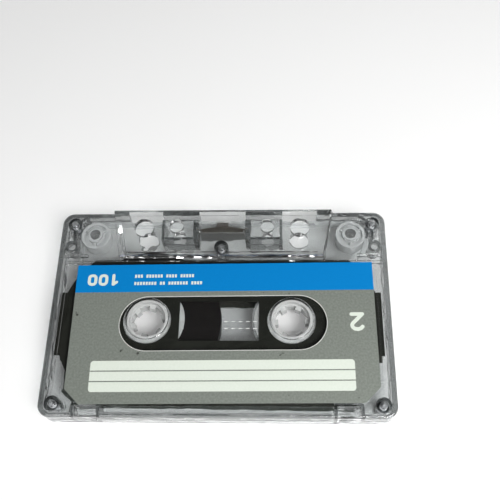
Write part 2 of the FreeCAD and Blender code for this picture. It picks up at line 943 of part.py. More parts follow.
def label_print(side_number):
    """Blue band and pale fields, as thin layers on the label."""
    low = recess_z + label_thickness
    high = low + print_thickness
    side = label_half_width
    band = box(-side, side, label_front_y - band_height, label_front_y, low, high)
    small_x = small_numeral_from_side - side
    small_y = label_front_y - small_numeral_from_edge
    on_band = small_print(low, high)
    on_band += numerals("100", small_x, small_y, small_numeral_height, small_numeral_stroke, low, high)
    back = label_back_y + field_from_back
    field = rounded_box(-field_width / 2, field_width / 2, back, back + field_height, low, high, field_corner)
    rules = []
    for index in range(1, field_lines):
        y = back + index * field_height / field_lines
        rules.append(box(-side, side, y - field_rule_gap / 2, y + field_rule_gap / 2, low, high))
    large_x = side - large_numeral_from_side
    large_y = label_line_y + large_numeral_height / 2
    large = numerals(side_number, large_x, large_y, large_numeral_height, large_numeral_stroke, low, high)
    pale = [shape.cut(label_cutout()) for shape in on_band + field.cut(rules).Solids + large]
    return band.cut(on_band + [label_cutout()]), Part.makeCompound(pale)


def pad_spring():
    """Bowed strip; its radius follows from its half length and its bow."""
    radius = (spring_half ** 2 + spring_bow ** 2) / (2 * spring_bow)
    centre = spring_front_y - radius
    low = mid_z - spring_height / 2
    high = mid_z + spring_height / 2
    strip = ring(0, centre, radius - spring_thickness, radius, low, high)
    back = spring_front_y - 2 * spring_bow
    return strip.common(box(-spring_half, spring_half, back, spring_front_y + overshoot, low, high))


def pressure_pad():
    return box(
        -pad_width / 2, pad_width / 2, pad_back_y, pad_front_y, mid_z - pad_height / 2, mid_z + pad_height / 2
    )


def magnetic_shield():
    """Plate bent forward at both ends, standing between the slotted walls."""
    side = slot_wall_x - spring_end_clearance
    low = mid_z - shield_height / 2
    high = mid_z + shield_height / 2
    plate = box(-side, side, shield_y, shield_y + shield_thickness, low, high)
    lip = box(side - shield_thickness, side, shield_y, shield_y + shield_lip, low, high)
    return plate.multiFuse(both_sides(lip))


os.makedirs("parts", exist_ok=True)

save(shell_half_b(), "shell_half_b")
save(shell_half_a(), "shell_half_a")
save(screws(), "screws")

save(slip_sheet(), "slip_sheet_b")
save(flipped(slip_sheet()), "slip_sheet_a")

save(hub(-hub_x, supply_tooth_angle, supply_clip_angle), "supply_hub")
save(hub(hub_x, takeup_tooth_angle, takeup_clip_angle), "takeup_hub")
save(hub_clip(-hub_x, supply_clip_angle), "supply_hub_clip")
save(hub_clip(hub_x, takeup_clip_angle), "takeup_hub_clip")

save(winding(-hub_x, pack_radius), "tape_pack")
save(winding(hub_x, leader_radius), "leader_wrap")
save(leader_run(), "leader_run")

save(guide_roller(-roller_x), "guide_roller_left")
save(guide_roller(roller_x), "guide_roller_right")

save(pressure_pad(), "pressure_pad")
save(pad_spring(), "pad_spring")
save(magnetic_shield(), "magnetic_shield")

for face, number in (("b", "2"), ("a", "1")):
    blue, pale = label_print(number)
    for name, layer in (("label_", label_blank()), ("label_blue_", blue), ("label_pale_", pale)):
        laid = on_label(layer)
        save(laid if face == "b" else turned_over(laid), name + face)
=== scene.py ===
import math

import bmesh
import bpy
from mathutils import Matrix, Vector


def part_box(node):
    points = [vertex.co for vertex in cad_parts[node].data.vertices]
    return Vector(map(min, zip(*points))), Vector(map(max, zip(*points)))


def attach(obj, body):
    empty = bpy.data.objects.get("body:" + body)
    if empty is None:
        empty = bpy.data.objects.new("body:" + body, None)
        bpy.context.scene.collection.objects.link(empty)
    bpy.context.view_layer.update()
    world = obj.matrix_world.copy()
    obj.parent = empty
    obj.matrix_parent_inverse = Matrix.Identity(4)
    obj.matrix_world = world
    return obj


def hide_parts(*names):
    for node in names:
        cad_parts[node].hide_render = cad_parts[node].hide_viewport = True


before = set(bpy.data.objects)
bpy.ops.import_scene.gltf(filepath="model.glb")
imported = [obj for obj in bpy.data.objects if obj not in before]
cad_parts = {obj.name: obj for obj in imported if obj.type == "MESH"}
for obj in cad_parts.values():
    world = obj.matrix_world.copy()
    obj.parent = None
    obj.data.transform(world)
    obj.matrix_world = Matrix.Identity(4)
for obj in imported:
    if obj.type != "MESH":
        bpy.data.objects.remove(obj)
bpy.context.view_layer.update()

# Camera: stands behind the back edge and looks down on side B, a little from the right and turned.
# Its place and lens come from the cassette's outline and both hub rims in the photograph.
MM = 0.001
camera_azimuth = math.radians(5.612)
camera_elevation = math.radians(64.69)
camera_roll = math.radians(-5.26)
camera_distance = 218.44 * MM
camera_target = Vector((8.58, 20.96, 6.0)) * MM
camera_clip_start = 10 * MM
camera_focal_px = 701.07
photo_px = 500
sensor_mm = 36.0

back = Vector(
    (
        math.sin(camera_azimuth) * math.cos(camera_elevation),
        -math.cos(camera_azimuth) * math.cos(camera_elevation),
        math.sin(camera_elevation),
    )
)
level_right = Vector((math.cos(camera_azimuth), math.sin(camera_azimuth), 0))
level_up = back.cross(level_right)
right = level_right * math.cos(camera_roll) + level_up * math.sin(camera_roll)
up = level_up * math.cos(camera_roll) - level_right * math.sin(camera_roll)
camera_data = bpy.data.cameras.new("camera")
camera_data.sensor_width = sensor_mm
camera_data.lens = camera_focal_px / photo_px * sensor_mm
camera_data.clip_start = camera_clip_start
camera = bpy.data.objects.new("camera", camera_data)
camera.matrix_world = Matrix.Translation(camera_target + back * camera_distance) @ Matrix(
    (right, up, back)
).transposed().to_4x4()
bpy.context.scene.collection.objects.link(camera)
bpy.context.scene.camera = camera


# Shell halves: two injection mouldings of clear general purpose polystyrene, closed by five screws.
# The resin has a faint smoky cast and flow waves, its edges are rounded by the mould, and handling has
# left a light haze and fine scratches, which are drawn wider than real ones so that they show.
shell_clear = "#E3E4E4"
shell_shadow = "#EBECEC"
shell_ior = 1.59
shell_polish = 0.02
shell_hazed = 0.07
haze_size = 14 * MM
flow_size = 5 * MM
flow_height = 0.45 * MM
scratch_length = 9 * MM
scratch_width = 0.25 * MM
scratch_depth = 0.02 * MM
scratch_turn = math.radians(24)
bent_ray_steps = 5
shell_edge_round = 0.12 * MM
shell_edge_angle = math.radians(38)
flat_angle = math.radians(1)
weld_distance = 0.001 * MM


def colour(code):
    """Linear colour of an sRGB hex value."""
    parts = [int(code[i : i + 2], 16) / 255 for i in (1, 3, 5)]
    return [p / 12.92 if p <= 0.04045 else ((p + 0.055) / 1.055) ** 2.4 for p in parts] + [1.0]


def add(tree, kind, settings=None, inputs=None):
    """Adds a node. Settings are its properties, and inputs are values or the outputs that feed it."""
    made = tree.nodes.new(kind)
    for name, value in (settings or {}).items():
        setattr(made, name, value)
    for name, value in (inputs or {}).items():
        if isinstance(value, bpy.types.NodeSocket):
            tree.links.new(value, made.inputs[name])
        else:
            made.inputs[name].default_value = value
    return made


def new_material(name):
    """An empty node material, its tree, and the Object coordinates that its patterns read."""
    made = bpy.data.materials.new(name)
    made.use_nodes = True
    made.node_tree.nodes.clear()
    return made, made.node_tree, add(made.node_tree, "ShaderNodeTexCoord").outputs["Object"]


def paint(names, made):
    """Puts a material on the slots of CAD nodes."""
    for name in names:
        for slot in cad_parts[name].material_slots:
            slot.material = made


clear_polystyrene, tree, place = new_material("clear_polystyrene")
haze = add(
    tree, "ShaderNodeTexNoise", inputs={"Vector": place, "Scale": 1 / haze_size, "Detail": 3.0}
).outputs["Fac"]
roughness = add(
    tree,
    "ShaderNodeMapRange",
    inputs={"Value": haze, "From Min": 0.35, "From Max": 0.75, "To Min": shell_polish, "To Max": shell_hazed},
).outputs["Result"]
flow = add(
    tree, "ShaderNodeTexNoise", inputs={"Vector": place, "Scale": 1 / flow_size, "Detail": 1.0}
).outputs["Fac"]
waviness = add(
    tree, "ShaderNodeBump", inputs={"Strength": 1.0, "Distance": flow_height, "Height": flow}
).outputs["Normal"]
along = add(
    tree,
    "ShaderNodeMapping",
    inputs={
        "Vector": place,
        "Rotation": (0.0, 0.0, scratch_turn),
        "Scale": (1 / scratch_length, 1 / scratch_width, 1 / scratch_length),
    },
).outputs["Vector"]
scratch = add(
    tree, "ShaderNodeTexNoise", inputs={"Vector": along, "Scale": 1.0, "Detail": 1.0}
).outputs["Fac"]
scratch_mask = add(
    tree, "ShaderNodeMapRange", inputs={"Value": scratch, "From Min": 0.66, "From Max": 0.78}
).outputs["Result"]
relief = add(
    tree,
    "ShaderNodeBump",
    {"invert": True},
    {"Strength": 0.25, "Distance": scratch_depth, "Height": scratch_mask, "Normal": waviness},
).outputs["Normal"]
glass = add(
    tree,
    "ShaderNodeBsdfPrincipled",
    inputs={
        "Base Color": colour(shell_clear),
        "Transmission Weight": 1.0,
        "IOR": shell_ior,
        "Roughness": roughness,
        "Normal": relief,
    },
).outputs["BSDF"]

# Light reaches what lies inside, and a ray that has already met many walls goes straight on.
see_through = add(
    tree, "ShaderNodeBsdfTransparent", inputs={"Color": colour(shell_shadow)}
).outputs["BSDF"]
path = add(tree, "ShaderNodeLightPath")
deep = add(
    tree,
    "ShaderNodeMath",
    {"operation": "GREATER_THAN"},
    {0: path.outputs["Ray Depth"], 1: bent_ray_steps},
).outputs["Value"]
straight = add(
    tree, "ShaderNodeMath", {"operation": "MAXIMUM"}, {0: path.outputs["Is Shadow Ray"], 1: deep}
).outputs["Value"]
mixed = add(tree, "ShaderNodeMixShader", inputs={0: straight, 1: glass, 2: see_through}).outputs["Shader"]
add(tree, "ShaderNodeOutputMaterial", inputs={"Surface": mixed})


def rounded_copy(node, width):
    """Copy of a node's mesh with its sharp edges rounded, as a mould leaves them, and its flats kept flat."""
    work = bmesh.new()
    work.from_mesh(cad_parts[node].data)
    bmesh.ops.remove_doubles(work, verts=work.verts, dist=weld_distance)
    bmesh.ops.dissolve_limit(work, angle_limit=flat_angle, verts=work.verts, edges=work.edges)
    plain = bpy.data.meshes.new(node + "_plain")
    work.to_mesh(plain)
    work.free()
    plain.shade_smooth()
    made = bpy.data.objects.new(node + "_plain", plain)
    bpy.context.scene.collection.objects.link(made)
    bevel = made.modifiers.new("edges", "BEVEL")
    bevel.width = width
    bevel.segments = 2
    bevel.limit_method = "ANGLE"
    bevel.angle_limit = shell_edge_angle
    bevel.use_clamp_overlap = True
    flats = made.modifiers.new("flats", "WEIGHTED_NORMAL")
    flats.mode = "FACE_AREA_WITH_ANGLE"
    flats.weight = 100
    depsgraph = bpy.context.evaluated_depsgraph_get()
    mesh = bpy.data.meshes.new_from_object(made.evaluated_get(depsgraph))
    bpy.data.objects.remove(made)
    return mesh


for node in ("shell_half_b", "shell_half_a"):
    mesh = rounded_copy(node, shell_edge_round)
    mesh.materials.clear()
    mesh.materials.append(clear_polystyrene)
    half = bpy.data.objects.new("clear_" + node, mesh)
    bpy.context.scene.collection.objects.link(half)
    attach(half, "shell")
    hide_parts(node)


# Slip sheets: two polyester films with a rubbed graphite coating, one under each panel, that keep the
# tape pack running straight. Matt, nearly black, with a faint greenish cast and slight rubbing marks.
sheet_dark = "#1E1F1B"
sheet_light = "#3B3D36"
rub_size = 6 * MM

graphite_film, tree, place = new_material("graphite_coated_film")
rub = add(
    tree, "ShaderNodeTexNoise", inputs={"Vector": place, "Scale": 1 / rub_size, "Detail": 6.0}
).outputs["Fac"]
tone = add(
    tree, "ShaderNodeMix", {"data_type": "RGBA"}, {0: rub, 6: colour(sheet_dark), 7: colour(sheet_light)}
).outputs[2]
coated = add(
    tree,
    "ShaderNodeBsdfPrincipled",
    inputs={"Base Color": tone, "Roughness": 0.42, "Specular IOR Level": 0.4},
).outputs["BSDF"]
add(tree, "ShaderNodeOutputMaterial", inputs={"Surface": coated})
paint(["slip_sheet_b", "slip_sheet_a"], graphite_film)


# Hubs and their clips: moulded in milky acetal, smooth and a little translucent, so that light spreads
# in their rims. A clip pins the leader's end in each hub.
hub_white = "#CFD0CF"
hub_shade = "#B4B6B5"
hub_cloud_size = 2.5 * MM
hub_relief = 0.05 * MM
acetal_spread = 0.8 * MM

milky_acetal, tree, place = new_material("milky_acetal")
cloud = add(
    tree, "ShaderNodeTexNoise", inputs={"Vector": place, "Scale": 1 / hub_cloud_size, "Detail": 4.0}
).outputs["Fac"]
tone = add(
    tree, "ShaderNodeMix", {"data_type": "RGBA"}, {0: cloud, 6: colour(hub_shade), 7: colour(hub_white)}
).outputs[2]
moulded = add(
    tree, "ShaderNodeBump", inputs={"Strength": 0.1, "Distance": hub_relief, "Height": cloud}
).outputs["Normal"]
plastic = add(
    tree,
    "ShaderNodeBsdfPrincipled",
    inputs={
        "Base Color": tone,
        "Roughness": 0.3,
        "Subsurface Weight": 0.35,
        "Subsurface Radius": (1.0, 1.0, 1.0),
        "Subsurface Scale": acetal_spread,
        "Normal": moulded,
    },
).outputs["BSDF"]
add(tree, "ShaderNodeOutputMaterial", inputs={"Surface": plastic})
paint(["supply_hub", "takeup_hub", "supply_hub_clip", "takeup_hub_clip"], milky_acetal)


# Guide rollers: thin-walled polystyrene rollers that turn on posts of the lower shell half. They are
# cloudy and half clear, so that the posts show through as grey rings.
roller_tint = "#D8DADA"
roller_cloud_size = 1.6 * MM

cloudy_roller, tree, place = new_material("cloudy_roller")
cloud = add(
    tree, "ShaderNodeTexNoise", inputs={"Vector": place, "Scale": 1 / roller_cloud_size, "Detail": 4.0}
).outputs["Fac"]
gloss = add(
    tree, "ShaderNodeMapRange", inputs={"Value": cloud, "To Min": 0.12, "To Max": 0.3}
).outputs["Result"]
plastic = add(
    tree,
    "ShaderNodeBsdfPrincipled",
    inputs={"Base Color": colour(roller_tint), "Roughness": gloss, "Alpha": 0.72},
).outputs["BSDF"]
add(tree, "ShaderNodeOutputMaterial", inputs={"Surface": plastic})
paint(["guide_roller_left", "guide_roller_right"], cloudy_roller)


# Wound tape: ferric oxide tape, 3.81 mm wide, one turn on the next. From the side it is a glossy
# near-black disc with very fine rings, where single turns stand a hair proud. A real turn is only
# 0.018 mm thick, so the rings are drawn coarser to show.
tape_black = "#090808"
tape_brown = "#1A1615"
ring_pitch = 0.3 * MM
ring_relief = 0.03 * MM

low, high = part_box("tape_pack")
pack_centre = (low + high) / 2
ferric_tape, tree, place = new_material("ferric_tape_edge")
centred = add(
    tree, "ShaderNodeMapping", inputs={"Vector": place, "Location": -pack_centre}
).outputs["Vector"]
flat = add(
    tree, "ShaderNodeVectorMath", {"operation": "MULTIPLY"}, {0: centred, 1: (1.0, 1.0, 0.0)}
).outputs["Vector"]
radius = add(tree, "ShaderNodeVectorMath", {"operation": "LENGTH"}, {0: flat}).outputs["Value"]
turn = add(tree, "ShaderNodeMath", {"operation": "DIVIDE"}, {0: radius, 1: ring_pitch}).outputs["Value"]
rings = add(
    tree, "ShaderNodeTexNoise", {"noise_dimensions": "1D"}, {"W": turn, "Scale": 1.0, "Detail": 3.0}
).outputs["Fac"]
tone = add(
    tree, "ShaderNodeMix", {"data_type": "RGBA"}, {0: rings, 6: colour(tape_black), 7: colour(tape_brown)}
).outputs[2]
ridges = add(
    tree, "ShaderNodeBump", inputs={"Strength": 0.25, "Distance": ring_relief, "Height": rings}
).outputs["Normal"]
oxide = add(
    tree,
    "ShaderNodeBsdfPrincipled",
    inputs={"Base Color": tone, "Roughness": 0.36, "Specular IOR Level": 0.3, "Normal": ridges},
).outputs["BSDF"]
add(tree, "ShaderNodeOutputMaterial", inputs={"Surface": oxide})
paint(["tape_pack"], ferric_tape)


# Leader: clear polyester film at the end of the tape. A few turns lie on the empty hub, and one
# stretch runs over both rollers past the head opening.
leader_tint = "#D8DCDC"
leader_streak = 1.2 * MM

leader_film, tree, place = new_material("clear_polyester_leader")
streak = add(
    tree, "ShaderNodeTexNoise", inputs={"Vector": place, "Scale": 1 / leader_streak, "Detail": 2.0}
).outputs["Fac"]
gloss = add(
    tree, "ShaderNodeMapRange", inputs={"Value": streak, "To Min": 0.05, "To Max": 0.2}
).outputs["Result"]
film = add(
    tree,
    "ShaderNodeBsdfPrincipled",
    inputs={"Base Color": colour(leader_tint), "Roughness": gloss, "Alpha": 0.35},
).outputs["BSDF"]
add(tree, "ShaderNodeOutputMaterial", inputs={"Surface": film})
paint(["leader_wrap", "leader_run"], leader_film)


# Pressure pad: a block of dense wool felt, glued to the middle of its spring. It is matt and dark, with
# short fibres that are drawn coarser than real ones so that they show.
felt_dark = "#2B2826"
felt_light = "#5A5551"
fibre_size = 0.15 * MM
nap_height = 0.1 * MM

wool_felt, tree, place = new_material("wool_felt")
hairs = add(
    tree, "ShaderNodeTexNoise", inputs={"Vector": place, "Scale": 1 / fibre_size, "Detail": 5.0}
).outputs["Fac"]
tone = add(
    tree, "ShaderNodeMix", {"data_type": "RGBA"}, {0: hairs, 6: colour(felt_dark), 7: colour(felt_light)}
).outputs[2]
nap = add(
    tree, "ShaderNodeBump", inputs={"Strength": 0.8, "Distance": nap_height, "Height": hairs}
).outputs["Normal"]
felt = add(
    tree,
    "ShaderNodeBsdfPrincipled",
    inputs={"Base Color": tone, "Roughness": 0.95, "Sheen Weight": 0.4, "Normal": nap},
).outputs["BSDF"]
add(tree, "ShaderNodeOutputMaterial", inputs={"Surface": felt})
paint(["pressure_pad"], wool_felt)


# Pad spring and magnetic shield: a bowed strip of plated phosphor bronze that carries the pad, and a
# bent plate of soft magnetic alloy behind it. Both are rolled strip, satin, with fine lines along it.
spring_plating = "#A39C93"
shield_grey = "#B6B6B4"
strip_line_length = 8 * MM
strip_line_pitch = 0.2 * MM
strip_polished = 0.08
strip_dulled = 0.1

for name, code, shine, node in (
    ("plated_phosphor_bronze", spring_plating, 0.42, "pad_spring"),
    ("annealed_shield_alloy", shield_grey, 0.5, "magnetic_shield"),
):
    metal, tree, place = new_material(name)
    lines = add(
        tree,
        "ShaderNodeMapping",
        inputs={
            "Vector": place,
            "Scale": (1 / strip_line_length, 1 / strip_line_length, 1 / strip_line_pitch),
        },
    ).outputs["Vector"]
    grain = add(
        tree, "ShaderNodeTexNoise", inputs={"Vector": lines, "Scale": 1.0, "Detail": 2.0}
    ).outputs["Fac"]
    rolled = add(
        tree,
        "ShaderNodeMapRange",
        inputs={"Value": grain, "To Min": shine - strip_polished, "To Max": shine + strip_dulled},
    ).outputs["Result"]
    strip = add(
        tree,
        "ShaderNodeBsdfPrincipled",
        inputs={"Base Color": colour(code), "Metallic": 1.0, "Roughness": rolled},
    ).outputs["BSDF"]
    add(tree, "ShaderNodeOutputMaterial", inputs={"Surface": strip})
    paint([node], metal)


# Screws: five self-tapping steel screws, zinc plated, driven from side A into blind bosses of the other
# half. Their thread is rolled, and runs up each shank as one helix within the gap in the boss.
screw_zinc = "#DCDDE0"
zinc_mottle = 0.6 * MM
screw_head_radius = 1.85 * MM
screw_shank_radius = 0.95 * MM
screw_thread_depth = 0.13 * MM
centre_screw_y = 19.8 * MM
thread_bottom_z = 3.35 * MM
thread_top_z = 8.15 * MM
thread_pitch = 0.8 * MM
crest_centre_share = 0.33
crest_radius_share = 0.66
steps_per_turn = 28
crest_sides = 6

zinc_steel, tree, place = new_material("zinc_plated_steel")
mottle = add(
    tree, "ShaderNodeTexNoise", inputs={"Vector": place, "Scale": 1 / zinc_mottle, "Detail": 4.0}
).outputs["Fac"]
satin = add(
    tree, "ShaderNodeMapRange", inputs={"Value": mottle, "To Min": 0.32, "To Max": 0.55}
).outputs["Result"]
steel = add(
    tree,
    "ShaderNodeBsdfPrincipled",
    inputs={"Base Color": colour(screw_zinc), "Metallic": 1.0, "Roughness": satin},
).outputs["BSDF"]
add(tree, "ShaderNodeOutputMaterial", inputs={"Surface": steel})
paint(["screws"], zinc_steel)


def new_group(name, sizes):
    """A Geometry Nodes group that takes points and named sizes: its tree, its sockets and its inputs."""
    group = bpy.data.node_groups.new(name, "GeometryNodeTree")
    group.interface.new_socket("Points", in_out="INPUT", socket_type="NodeSocketGeometry")
    group.interface.new_socket("Piece", in_out="OUTPUT", socket_type="NodeSocketGeometry")
    sockets = {
        size: group.interface.new_socket(size, in_out="INPUT", socket_type="NodeSocketFloat").identifier
        for size in sizes
    }
    return group, sockets, add(group, "NodeGroupInput").outputs


def grow(name, points, group, sockets, sizes):
    """Runs a Geometry Nodes group on points, and keeps what it makes as the plain mesh of a new piece."""
    start = bpy.data.meshes.new(name)
    start.from_pydata(points, [], [])
    piece = bpy.data.objects.new(name, start)
    bpy.context.scene.collection.objects.link(piece)
    nodes = piece.modifiers.new(group.name, "NODES")
    nodes.node_group = group
    for size, value in sizes.items():
        nodes[sockets[size]] = value
    depsgraph = bpy.context.evaluated_depsgraph_get()
    mesh = bpy.data.meshes.new_from_object(piece.evaluated_get(depsgraph))
    piece.modifiers.clear()
    piece.data = mesh
    return piece


thread_sizes = {
    "Shank radius": screw_shank_radius,
    "Depth": screw_thread_depth,
    "Height": thread_top_z - thread_bottom_z,
    "Turns": (thread_top_z - thread_bottom_z) / thread_pitch,
}
rolled_thread, sockets, given = new_group("rolled_thread", thread_sizes)
crest_middle = add(
    rolled_thread,
    "ShaderNodeMath",
    {"operation": "MULTIPLY_ADD"},
    {0: given["Depth"], 1: crest_centre_share, 2: given["Shank radius"]},
).outputs["Value"]
helix = add(
    rolled_thread,
    "GeometryNodeCurveSpiral",
    inputs={
        "Resolution": steps_per_turn,
        "Rotations": given["Turns"],
        "Start Radius": crest_middle,
        "End Radius": crest_middle,
        "Height": given["Height"],
    },
).outputs["Curve"]
crest_radius = add(
    rolled_thread, "ShaderNodeMath", {"operation": "MULTIPLY"}, {0: given["Depth"], 1: crest_radius_share}
).outputs["Value"]
profile = add(
    rolled_thread,
    "GeometryNodeCurvePrimitiveCircle",
    inputs={"Resolution": crest_sides, "Radius": crest_radius},
).outputs["Curve"]
ridge = add(
    rolled_thread,
    "GeometryNodeCurveToMesh",
    inputs={"Curve": helix, "Profile Curve": profile, "Fill Caps": True},
).outputs["Mesh"]
placed = add(
    rolled_thread, "GeometryNodeInstanceOnPoints", inputs={"Points": given["Points"], "Instance": ridge}
).outputs["Instances"]
solid = add(rolled_thread, "GeometryNodeRealizeInstances", inputs={"Geometry": placed}).outputs["Geometry"]
plated = add(
    rolled_thread, "GeometryNodeSetMaterial", inputs={"Geometry": solid, "Material": zinc_steel}
).outputs["Geometry"]
add(rolled_thread, "NodeGroupOutput", inputs={"Piece": plated})

low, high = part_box("screws")
side_x = high.x - screw_head_radius
back_y = low.y + screw_head_radius
front_y = high.y - screw_head_radius
screw_feet = [(x, y, thread_bottom_z) for x in (-side_x, side_x) for y in (back_y, front_y)]
screw_feet.append((0.0, centre_screw_y, thread_bottom_z))
threads = grow("screw_threads", screw_feet, rolled_thread, sockets, thread_sizes)
threads.data.shade_smooth()
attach(threads, "shell")


# Labels: self-adhesive paper with a silver metallic coating, finely mottled, with a few dark smudges
# from handling. A thin pale line round the long hole is a painted highlight, where light catches the
# cut edge, and the line follows the hole on both sides, with the small shift and turn of the laid label.
silver_dark = "#858B83"
silver_light = "#989E96"
# The pale colour below is a painted highlight, the light caught by the cut edge of the long hole.
edge_highlight_white = "#F4F5F0"
speck_dark = "#4A4C48"
mottle_size = 0.6 * MM
speck_size = 2.4 * MM
paper_grain = 0.25 * MM
paper_tooth = 0.03 * MM
shell_middle_z = 6 * MM
cutout_line_y = -4.4 * MM
cutout_length = 60.6 * MM
cutout_height = 16.5 * MM
cut_edge_width = 0.19 * MM
label_shift = 1.1 * MM
label_turn = math.radians(0.6)

silver_paper, tree, place = new_material("metallised_paper")
mottle = add(
    tree, "ShaderNodeTexNoise", inputs={"Vector": place, "Scale": 1 / mottle_size, "Detail": 6.0}
).outputs["Fac"]
spread = add(
    tree, "ShaderNodeMapRange", inputs={"Value": mottle, "From Min": 0.3, "From Max": 0.7}
).outputs["Result"]
silver = add(
    tree,
    "ShaderNodeMix",
    {"data_type": "RGBA"},
    {0: spread, 6: colour(silver_dark), 7: colour(silver_light)},
).outputs[2]
speck = add(
    tree, "ShaderNodeTexNoise", inputs={"Vector": place, "Scale": 1 / speck_size, "Detail": 2.0}
).outputs["Fac"]
speck_mask = add(
    tree, "ShaderNodeMapRange", inputs={"Value": speck, "From Min": 0.72, "From Max": 0.78}
).outputs["Result"]
smudged = add(
    tree, "ShaderNodeMix", {"data_type": "RGBA"}, {0: speck_mask, 6: silver, 7: colour(speck_dark)}
).outputs[2]

# The distance to the hole's long middle line tells the painted highlight along the cut edge from the
# rest. Side A is mirrored.
split = add(tree, "ShaderNodeSeparateXYZ", inputs={0: place})
above_middle = add(
    tree, "ShaderNodeMath", {"operation": "SUBTRACT"}, {0: split.outputs["Z"], 1: shell_middle_z}
).outputs["Value"]
side = add(tree, "ShaderNodeMath", {"operation": "SIGN"}, {0: above_middle}).outputs["Value"]
across = add(
    tree, "ShaderNodeMath", {"operation": "MULTIPLY"}, {0: split.outputs["X"], 1: side}
).outputs["Value"]
flat = add(
    tree, "ShaderNodeCombineXYZ", inputs={"X": across, "Y": split.outputs["Y"]}
).outputs["Vector"]
unturned = add(
    tree,
    "ShaderNodeMapping",
    {"vector_type": "TEXTURE"},
    {"Vector": flat, "Location": (label_shift, 0.0, 0.0), "Rotation": (0.0, 0.0, label_turn)},
).outputs["Vector"]
from_line = add(
    tree, "ShaderNodeVectorMath", {"operation": "SUBTRACT"}, {0: unturned, 1: (0.0, cutout_line_y, 0.0)}
).outputs["Vector"]
one_quarter = add(
    tree, "ShaderNodeVectorMath", {"operation": "ABSOLUTE"}, {0: from_line}
).outputs["Vector"]
straight_half = (cutout_length - cutout_height) / 2
past_straight = add(
    tree, "ShaderNodeVectorMath", {"operation": "SUBTRACT"}, {0: one_quarter, 1: (straight_half, 0.0, 0.0)}
).outputs["Vector"]
outwards = add(
    tree, "ShaderNodeVectorMath", {"operation": "MAXIMUM"}, {0: past_straight, 1: (0.0, 0.0, 0.0)}
).outputs["Vector"]
distance = add(tree, "ShaderNodeVectorMath", {"operation": "LENGTH"}, {0: outwards}).outputs["Value"]
# Painted highlight: a thin pale line over the silver, just outside the cut edge of the long hole.
painted_edge_highlight = add(
    tree,
    "ShaderNodeMath",
    {"operation": "LESS_THAN"},
    {0: distance, 1: cutout_height / 2 + cut_edge_width},
).outputs["Value"]
tone = add(
    tree, "ShaderNodeMix", {"data_type": "RGBA"}, {0: painted_edge_highlight, 6: smudged, 7: colour(edge_highlight_white)}
).outputs[2]
grain = add(
    tree, "ShaderNodeTexNoise", inputs={"Vector": place, "Scale": 1 / paper_grain, "Detail": 3.0}
).outputs["Fac"]
tooth = add(
    tree, "ShaderNodeBump", inputs={"Strength": 0.15, "Distance": paper_tooth, "Height": grain}
).outputs["Normal"]
paper = add(
    tree,
    "ShaderNodeBsdfPrincipled",
    inputs={"Base Color": tone, "Metallic": 0.35, "Roughness": 0.42, "Normal": tooth},
).outputs["BSDF"]
add(tree, "ShaderNodeOutputMaterial", inputs={"Surface": paper})
paint(["label_b", "label_a"], silver_paper)


# Label print: offset ink on the labels, a blue band with plain numerals, and pale writing fields. The
# ink is even and only faintly mottled. The blue is a little glossy and the pale ink is matt.
band_blue = "#0083CC"
band_deep = "#007AC2"
field_pale = "#E3E9DF"
field_shade = "#D6DFD2"
ink_relief = 0.02 * MM

for name, first, second, shine, nodes in (
    ("blue_offset_print", band_deep, band_blue, 0.4, ["label_blue_b", "label_blue_a"]),
    ("pale_offset_print", field_shade, field_pale, 0.6, ["label_pale_b", "label_pale_a"]),
):
    print_ink, tree, place = new_material(name)
    mottle = add(
        tree, "ShaderNodeTexNoise", inputs={"Vector": place, "Scale": 1 / mottle_size, "Detail": 6.0}
    ).outputs["Fac"]
    tone = add(
        tree, "ShaderNodeMix", {"data_type": "RGBA"}, {0: mottle, 6: colour(first), 7: colour(second)}
    ).outputs[2]
    tooth = add(
        tree, "ShaderNodeBump", inputs={"Strength": 0.1, "Distance": ink_relief, "Height": mottle}
    ).outputs["Normal"]
    ink = add(
        tree,
        "ShaderNodeBsdfPrincipled",
        inputs={"Base Color": tone, "Roughness": shine, "Specular IOR Level": 0.25, "Normal": tooth},
    ).outputs["BSDF"]
    add(tree, "ShaderNodeOutputMaterial", inputs={"Surface": ink})
    paint(nodes, print_ink)


# Tape scale: white ink on the short raised dashes that are moulded in two rows on the window. It is
# left only beside the wound tape, over the clear half, and is rubbed thin in places.
scale_white = "#F6F8F6"
scale_worn = "#B4B6B4"
scale_wear_size = 0.9 * MM
scale_rows = 2
scale_marks = 5
scale_row_gap = 2.1 * MM
scale_pitch = 2.12 * MM
scale_mark_length = 1.1 * MM
scale_mark_width = 0.3 * MM
scale_ink_thickness = 0.02 * MM
scale_middle = Vector((6.36, -5.1, 10.21)) * MM

scale_ink, tree, place = new_material("white_scale_ink")
wear = add(
    tree, "ShaderNodeTexNoise", inputs={"Vector": place, "Scale": 1 / scale_wear_size, "Detail": 2.0}
).outputs["Fac"]
tone = add(
    tree, "ShaderNodeMix", {"data_type": "RGBA"}, {0: wear, 6: colour(scale_worn), 7: colour(scale_white)}
).outputs[2]
ink = add(tree, "ShaderNodeBsdfPrincipled", inputs={"Base Color": tone, "Roughness": 0.5}).outputs["BSDF"]
add(tree, "ShaderNodeOutputMaterial", inputs={"Surface": ink})

scale_sizes = {
    "Mark length": scale_mark_length,
    "Mark width": scale_mark_width,
    "Ink thickness": scale_ink_thickness,
    "Row length": (scale_marks - 1) * scale_pitch,
    "Row gap": (scale_rows - 1) * scale_row_gap,
}
printed_scale, sockets, given = new_group("printed_scale", scale_sizes)
grid = add(
    printed_scale,
    "GeometryNodeMeshGrid",
    inputs={
        "Size X": given["Row length"],
        "Size Y": given["Row gap"],
        "Vertices X": scale_marks,
        "Vertices Y": scale_rows,
    },
).outputs["Mesh"]
bar_size = add(
    printed_scale,
    "ShaderNodeCombineXYZ",
    inputs={"X": given["Mark length"], "Y": given["Mark width"], "Z": given["Ink thickness"]},
).outputs["Vector"]
bar = add(printed_scale, "GeometryNodeMeshCube", inputs={"Size": bar_size}).outputs["Mesh"]
bars = add(
    printed_scale, "GeometryNodeInstanceOnPoints", inputs={"Points": grid, "Instance": bar}
).outputs["Instances"]
